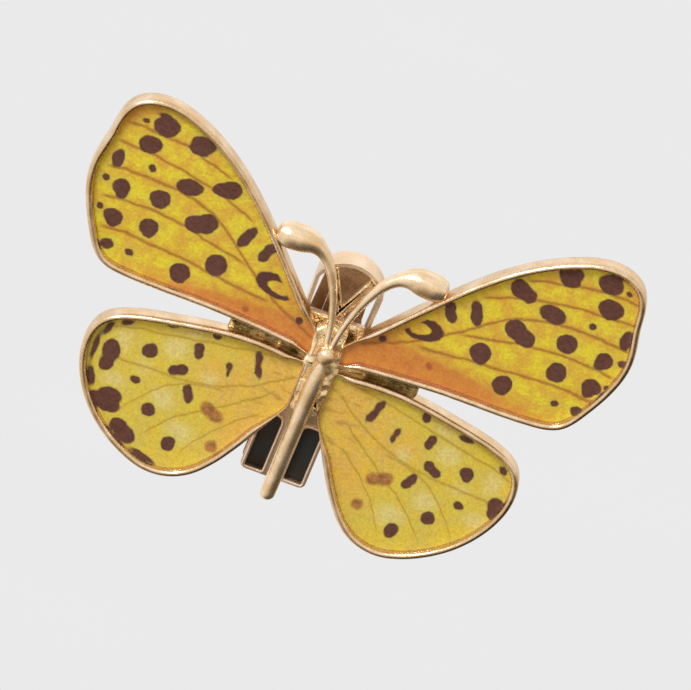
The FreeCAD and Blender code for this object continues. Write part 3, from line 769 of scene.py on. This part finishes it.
def build_antenna(side_name):
    side = 1 if side_name == "right" else -1
    points = [(x * side, y, TRAY_HEIGHT - drop, radius, back) for x, y, drop, radius, back in ANTENNA]
    path = [tuple(p) for p in smooth_line(points, 70)]
    verts, faces = loft(tube(rounded_ends(path, start=False, bulge=0.45)))
    new_piece(f"{side_name}_antenna_cast", verts, faces, BODY_GOLD, [f"{side_name}_antenna"],
              smooth_angle=70)


for side_name in ("left", "right"):
    build_antenna(side_name)

HEAD_MIDDLE = middle("head")
HEAD = ((HEAD_MIDDLE.x - MIDDLE_X) / MM, (HEAD_MIDDLE.z - PIN.z) / MM, (TRAY_BACK - HEAD_MIDDLE.y) / MM)
HEAD_R = (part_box("head")[1][0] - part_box("head")[0][0]) / 2 / MM


HEAD_POLE = 0.004           # radius of the ball's first and last ring


def build_head():
    steps = 32
    path = []
    for i in range(steps + 1):
        a = math.pi * i / steps
        radius = max(math.sin(a) * HEAD_R, HEAD_POLE)
        path.append((HEAD[0], HEAD[1] - math.cos(a) * HEAD_R, HEAD[2], radius))
    verts, faces = loft(tube(path, sides=48))
    new_piece("head_ball", verts, faces, BODY_GOLD, ["head"], smooth_angle=80)


ABDOMEN_TURN = math.radians(0.9)
ABDOMEN_Z = TRAY_HEIGHT + 0.15
# Distance behind the head's centre, radius.
ABDOMEN_SECTION = [(0.5, 0.42), (1.1, 0.5), (1.8, 0.68), (2.6, 0.86), (3.4, 0.93), (5.5, 0.93), (9.0, 0.90),
                   (13.0, 0.86), (17.05, 0.82)]


def build_abdomen():
    path = []
    for along, radius in smooth_line(ABDOMEN_SECTION, 60):
        x, y = -math.sin(ABDOMEN_TURN) * along, HEAD[1] - math.cos(ABDOMEN_TURN) * along
        path.append((x, y, ABDOMEN_Z, radius))
    verts, faces = loft(tube(rounded_ends(path, start=False), sides=40))
    new_piece("abdomen_rod", verts, faces, BODY_GOLD, ["abdomen"], smooth_angle=70)


build_head()
build_abdomen()


LUMP_POINTS = 220


def lump(name, outline, z0, z1, material, replaces, rough, edge=0.3, scale=1.3,
         crown=(0.25, 0.5, 0.75)):
    """A cast block on an outline, with rounded edges and an uneven skin.

    rough is the height of the unevenness, scale how close its bumps are, crown the distances between the
    rounded edge and the top's inner rings.
    """
    loop = resample([Vector(p) for p in outline], LUMP_POINTS, closed=True)
    section = [(edge, z0), (0.0, z0 + edge * 0.6), (0.0, z1 - edge), (edge * 0.3, z1 - edge * 0.3),
               (edge, z1)]
    inner = [(edge + further, z1) for further in crown]
    rings = section_rings(loop, section + inner)
    moved = []
    for ring in rings:
        line = []
        for x, y, z in ring:
            at = Vector((x, y, z)) * scale
            push = noise.noise(at) * rough + noise.noise(at * 3) * rough * 0.4
            line.append((x, y, min(z + push if z > z0 + 0.2 else z, z1 + rough * 0.5)))
        moved.append(line)
    verts, faces = loft(moved)
    new_piece(name, verts, faces, material, replaces, smooth_angle=60)


THORAX_TOP = 1.8
THORAX = [(-1.5, -7.0), (-1.75, -5.0), (-1.8, -2.0), (-2.0, -1.2), (-1.7, 0.2), (-1.9, 1.4), (-1.9, 2.6),
          (-1.2, 3.3), (-0.5, 3.7), (0.6, 3.3), (1.4, 3.1), (1.5, 1.8), (1.7, 0.2), (2.0, -1.2), (1.8, -2.0),
          (1.75, -5.0), (1.5, -7.0)]
lump("thorax_cast", THORAX, 0.0, THORAX_TOP, ROUGH_GOLD, ["thorax"], 0.3)

BRIDGE_TOP = 0.85
BRIDGE = [(1.7, 0.3), (6.0, 0.65), (10.4, 0.75), (10.5, -1.3), (6.0, -1.15), (1.7, -1.5)]
# The bridges between the wings take the groove gold, whose dark tone is painted shade.
for side_name, side in (("left", -1), ("right", 1)):
    outline = [(x * side, y) for x, y in BRIDGE]
    if side < 0:
        outline = outline[::-1]
    lump(f"{side_name}_bridge_cast", outline, 0.0, BRIDGE_TOP, GROOVE_GOLD_PAINTED_SHADE,
         [f"{side_name}_wing_bridge"], 0.15)

# ---- Spring: one wire coiled round the pin, with a leg under each lever ---

SPRING_R = 0.22
COIL_R = 1.0
COIL_TURNS = 5.5
COIL_HALF = 1.375
COIL_STEPS = 180
SHEET = 0.7                 # thickness of the levers
# Each leg leaves the coil at its bend and ends under its lever.
FRONT_BEND = (COIL_HALF, 1.2, PIN_Z + COIL_R - 0.03)
FRONT_LEG = (COIL_HALF, 3.2, CLIP_FRONT_Z - SHEET - SPRING_R)
BACK_BEND = (-COIL_HALF, 1.2, PIN_Z - COIL_R + 0.05)
BACK_LEG = (-COIL_HALF, 5.5, CLIP_BACK_Z + SHEET + SPRING_R)


def build_spring():
    points = [BACK_LEG, BACK_BEND]
    for i in range(COIL_STEPS + 1):
        turn = 2 * math.pi * COIL_TURNS * i / COIL_STEPS
        points.append((-COIL_HALF + 2 * COIL_HALF * i / COIL_STEPS, -math.sin(turn) * COIL_R,
                       PIN_Z - math.cos(turn) * COIL_R))
    points += [FRONT_BEND, FRONT_LEG]
    path = [(*point, SPRING_R) for point in points]
    verts, faces = loft(sweep(rounded_ends(path), sides=12))
    mesh = bpy.data.meshes.new("torsion_spring")
    mesh.from_pydata([to_world(x + CLIP_X, y, z) for x, y, z in verts], [], faces)
    piece = finish_piece("torsion_spring", mesh, SPRING_WIRE,
                         ["spring_coil", "spring_back_leg"], smooth_angle=80, body=None)
    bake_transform(piece)


build_spring()

# ---- Rough facing on the front tab's two ribs ------------------------

RIB_LEAN = math.radians(25.0)
RIB_X = -0.08                       # the two ribs start just across the middle
RIB_START_Y, RIB_LENGTH, RIB_HALF = 3.88, 5.55, 0.47
RIB_TOP = CLIP_FRONT_Z + 0.12
RIB_FOOT = CLIP_FRONT_Z - 0.5       # inside the lever's sheet
for side_name, side in (("left", -1), ("right", 1)):
    along = Vector((math.sin(RIB_LEAN) * side, math.cos(RIB_LEAN)))
    across = Vector((along.y, -along.x)) * RIB_HALF
    foot = Vector((CLIP_X + RIB_X * side, RIB_START_Y))
    tip = foot + along * RIB_LENGTH
    corners = [foot - across, tip - across, tip + across, foot + across]
    dense = [corners[i].lerp(corners[(i + 1) % 4], k / 12) for i in range(4) for k in range(12)]
    lump(f"{side_name}_rib_cast", dense, RIB_FOOT, RIB_TOP, ROUGH_GOLD, [], 0.07,
         edge=0.1, scale=2.2, crown=(0.08, 0.16, 0.24))

# Where the ribs meet, the tab is rough all across.
RIB_ROOT = [(-3.0, 2.3), (-3.1, 3.5), (3.1, 3.5), (3.0, 2.3)]
lump("rib_root_cast", [(x + CLIP_X, y) for x, y in RIB_ROOT], RIB_FOOT, RIB_TOP, ROUGH_GOLD,
     [], 0.1, edge=0.12, scale=1.8, crown=(0.15, 0.3, 0.45))

# ---- Raised frames round the front jaw's windows ---------------------

# The front jaw slopes down by JAW_DROP between JAW_BEND_Y and JAW_END_Y.
JAW_BEND_Y, JAW_END_Y, JAW_DROP = -3.0, -17.1, 2.2
FRAME_X = (1.02, 3.33)
FRAME_Y = (-16.82, -9.5)
FRAME_R = 0.2               # radius of the frame's wire
FRAME_CORNERS = (0.4, 1.0, 1.0, 0.4)
FRAME_POINTS = 160


def build_jaw_frame(side_name):
    side = 1 if side_name == "right" else -1
    corners = [Vector((x, y)) for x, y in ((FRAME_X[0], FRAME_Y[0]), (FRAME_X[0], FRAME_Y[1]),
                                           (FRAME_X[1], FRAME_Y[1]), (FRAME_X[1], FRAME_Y[0]))]
    loop = []
    for i, cut in enumerate(FRAME_CORNERS):
        loop += round_corner(corners[i - 1], corners[i], corners[(i + 1) % 4], cut)
    path = []
    for point in resample(loop, FRAME_POINTS, closed=True) + loop[:1]:
        drop = JAW_DROP * (JAW_BEND_Y - point.y) / (JAW_BEND_Y - JAW_END_Y)
        path.append((point.x * side + CLIP_X, point.y, CLIP_FRONT_Z - drop, FRAME_R))
    verts, faces = loft(sweep(path, sides=14))
    new_piece(f"{side_name}_jaw_frame", verts, faces, FRAME_GOLD, [], smooth_angle=70)


for side_name in ("left", "right"):
    build_jaw_frame(side_name)

# ---- Clip levers and pin: the CAD solids with their edges rounded ---


SHARP_DEGREES = 35


def rounded_copy(node, material, body, width):
    """A copy of a CAD node with a small round on every sharp edge."""
    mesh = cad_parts[node].data.copy()
    mesh.transform(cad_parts[node].matrix_world)
    if "custom_normal" in mesh.attributes:
        mesh.attributes.remove(mesh.attributes["custom_normal"])
    bm = bmesh.new()
    bm.from_mesh(mesh)
    bmesh.ops.remove_doubles(bm, verts=bm.verts, dist=MERGE_DISTANCE)
    sharp = [e for e in bm.edges if e.is_manifold and e.calc_face_angle(0) > math.radians(SHARP_DEGREES)]
    bmesh.ops.bevel(bm, geom=sharp, offset=width * MM, offset_type="OFFSET", segments=2, profile=0.5,
                    affect="EDGES", clamp_overlap=True)
    bmesh.ops.triangulate(bm, faces=[f for f in bm.faces if len(f.verts) > 4])
    bm.to_mesh(mesh)
    bm.free()
    mesh.materials.clear()
    return finish_piece(f"{node}_finished", mesh, material, [node], smooth_angle=22, body=body)


rounded_copy("clip_front_lever", CLIP_GOLD, "brooch", 0.09)
rounded_copy("clip_back_lever", UNPOLISHED, "back_lever", 0.09)
rounded_copy("hinge_pin", CLIP_GOLD, "brooch", 0.12)

# ---- Materials of the CAD nodes that stay as they are ----------------

# The mounting pad takes the groove gold too, so it carries the same painted shade.
CARRIED = {"mounting_pad": GROOVE_GOLD_PAINTED_SHADE, "front_grip_pad": RUBBER, "back_grip_pad": RUBBER}
for node, material in CARRIED.items():
    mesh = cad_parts[node].data
    mesh.materials.clear()
    mesh.materials.append(material)

# ---- Stage, light, camera --------------------------------------------

VIEW_TILT = math.radians(24.0)      # the camera is this far above the butterfly's face-on direction
VIEW_SIDE = math.radians(4.27)      # and this far to the left of it
VIEW_ROLL = math.radians(22.07)     # the butterfly leans this far clockwise
VIEW_DISTANCE = 1.2
VIEW_WIDTH = 0.0717                 # what the picture's width shows at the rims
# The picture's centre, from the middle of the butterfly at the pin's height.
AIM_RIGHT, AIM_UP = 0.00218, 0.00136


def view_axes():
    """Directions from the brooch to the camera, to the picture's right and to its top."""
    back = Vector((-math.sin(VIEW_SIDE) * math.cos(VIEW_TILT), -math.cos(VIEW_SIDE) * math.cos(VIEW_TILT),
                   math.sin(VIEW_TILT)))
    level = Vector((0, 0, 1)).cross(back).normalized()
    upright = back.cross(level)
    right = level * math.cos(VIEW_ROLL) + upright * math.sin(VIEW_ROLL)
    up = upright * math.cos(VIEW_ROLL) - level * math.sin(VIEW_ROLL)
    return back, right, up


def build_camera():
    back, right, up = view_axes()
    target = Vector((MIDDLE_X, RIM_FACE, PIN.z)) + right * AIM_RIGHT + up * AIM_UP
    data = bpy.data.cameras.new("camera")
    data.sensor_width = 36.0
    data.lens = data.sensor_width * VIEW_DISTANCE / VIEW_WIDTH
    data.clip_start, data.clip_end = 0.05, 20.0
    camera = bpy.data.objects.new("camera", data)
    bpy.context.scene.collection.objects.link(camera)
    turned = Matrix((right, up, back)).transposed().to_4x4()
    camera.matrix_world = Matrix.Translation(target + back * VIEW_DISTANCE) @ turned
    bpy.context.scene.camera = camera


def area_light(name, direction, distance, size, power):
    data = bpy.data.lights.new(name, "AREA")
    data.shape, data.size, data.energy = "SQUARE", size, power
    light = bpy.data.objects.new(name, data)
    bpy.context.scene.collection.objects.link(light)
    towards = Vector(direction).normalized()
    light.location = PIN + towards * distance
    light.rotation_mode = "QUATERNION"
    light.rotation_quaternion = towards.to_track_quat("Z", "Y")


SKY_UP = Vector((-0.62, 0.28, 0.73)).normalized()
# How bright and warm the room is, from the side away from SKY_UP to the side towards it.
SKY = [(0.05, (0.04, 0.035, 0.025)), (0.16, (0.26, 0.22, 0.16)), (0.27, (0.66, 0.60, 0.51)),
       (0.42, (0.86, 0.80, 0.71)), (0.60, (0.93, 0.90, 0.84)), (0.79, (0.97, 0.96, 0.94)),
       (0.92, (1.0, 1.0, 1.0))]
SKY_STRENGTH = 1.05
SKY_PATCHES = 1.7                   # scale of the unevenness
BACKGROUND = (0.823, 0.823, 0.823, 1)


def build_world():
    """A room that is white above and behind and dark below, seen as a plain pale background."""
    world = bpy.data.worlds.new("studio")
    bpy.context.scene.world = world
    world.use_nodes = True
    nodes, links = world.node_tree.nodes, world.node_tree.links
    nodes.clear()
    place = nodes.new("ShaderNodeTexCoord")
    dot = nodes.new("ShaderNodeVectorMath")
    dot.operation = "DOT_PRODUCT"
    dot.inputs[1].default_value = SKY_UP
    half = nodes.new("ShaderNodeMath")
    half.operation = "MULTIPLY_ADD"
    half.inputs[1].default_value = half.inputs[2].default_value = 0.5
    ramp = nodes.new("ShaderNodeValToRGB")
    ramp.color_ramp.interpolation = "EASE"
    elements = ramp.color_ramp.elements
    elements[0].position, elements[0].color = SKY[0][0], (*SKY[0][1], 1)
    elements[1].position, elements[1].color = SKY[-1][0], (*SKY[-1][1], 1)
    for position, colour in SKY[1:-1]:
        elements.new(position).color = (*colour, 1)
    uneven = nodes.new("ShaderNodeTexNoise")
    uneven.inputs["Scale"].default_value = SKY_PATCHES
    shade = nodes.new("ShaderNodeMapRange")
    for key, value in {1: 0.3, 2: 0.7, 3: 0.78 * SKY_STRENGTH, 4: 1.22 * SKY_STRENGTH}.items():
        shade.inputs[key].default_value = value
    room = nodes.new("ShaderNodeBackground")
    plain = nodes.new("ShaderNodeBackground")
    plain.inputs["Color"].default_value = BACKGROUND
    ray = nodes.new("ShaderNodeLightPath")
    either = nodes.new("ShaderNodeMixShader")
    output = nodes.new("ShaderNodeOutputWorld")
    links.new(place.outputs["Generated"], dot.inputs[0])
    links.new(place.outputs["Generated"], uneven.inputs["Vector"])
    links.new(dot.outputs["Value"], half.inputs[0])
    links.new(half.outputs[0], ramp.inputs[0])
    links.new(uneven.outputs[0], shade.inputs[0])
    links.new(ramp.outputs[0], room.inputs["Color"])
    links.new(shade.outputs[0], room.inputs["Strength"])
    links.new(ray.outputs["Is Camera Ray"], either.inputs[0])
    links.new(room.outputs[0], either.inputs[1])
    links.new(plain.outputs[0], either.inputs[2])
    links.new(either.outputs[0], output.inputs[0])


FLOOR_HALF, FLOOR_Z = 4.0, -0.25    # metres
FLOOR_TONES = (0.820, 0.820, 0.820, 1), (0.826, 0.826, 0.826, 1)


def build_floor():
    """A pale floor far below, evenly lit. It stays out of the metal's reflections."""
    t = Tree("floor_paint")
    speck = t.noise(t.place(), 0.02, 2.0).outputs[0]
    tone = t.mix(t.ramp(speck, 0.2, 0.8), *FLOOR_TONES)
    t.principled(Base_Color=(0.0, 0.0, 0.0, 1), Roughness=1.0, Specular_IOR_Level=0.0, Emission_Color=tone,
                 Emission_Strength=1.0)
    mesh = bpy.data.meshes.new("floor")
    corners = ((-1, -1), (1, -1), (1, 1), (-1, 1))
    mesh.from_pydata([(x * FLOOR_HALF, y * FLOOR_HALF, FLOOR_Z) for x, y in corners], [], [(0, 1, 2, 3)])
    mesh.materials.append(t.material)
    floor = bpy.data.objects.new("floor", mesh)
    bpy.context.scene.collection.objects.link(floor)
    floor.visible_glossy = floor.visible_diffuse = floor.visible_shadow = False


build_camera()
build_world()
build_floor()
area_light("key_softbox", (-0.55, -0.60, 0.75), distance=0.8, size=0.28, power=4.0)
bpy.context.scene.view_settings.view_transform = "Standard"
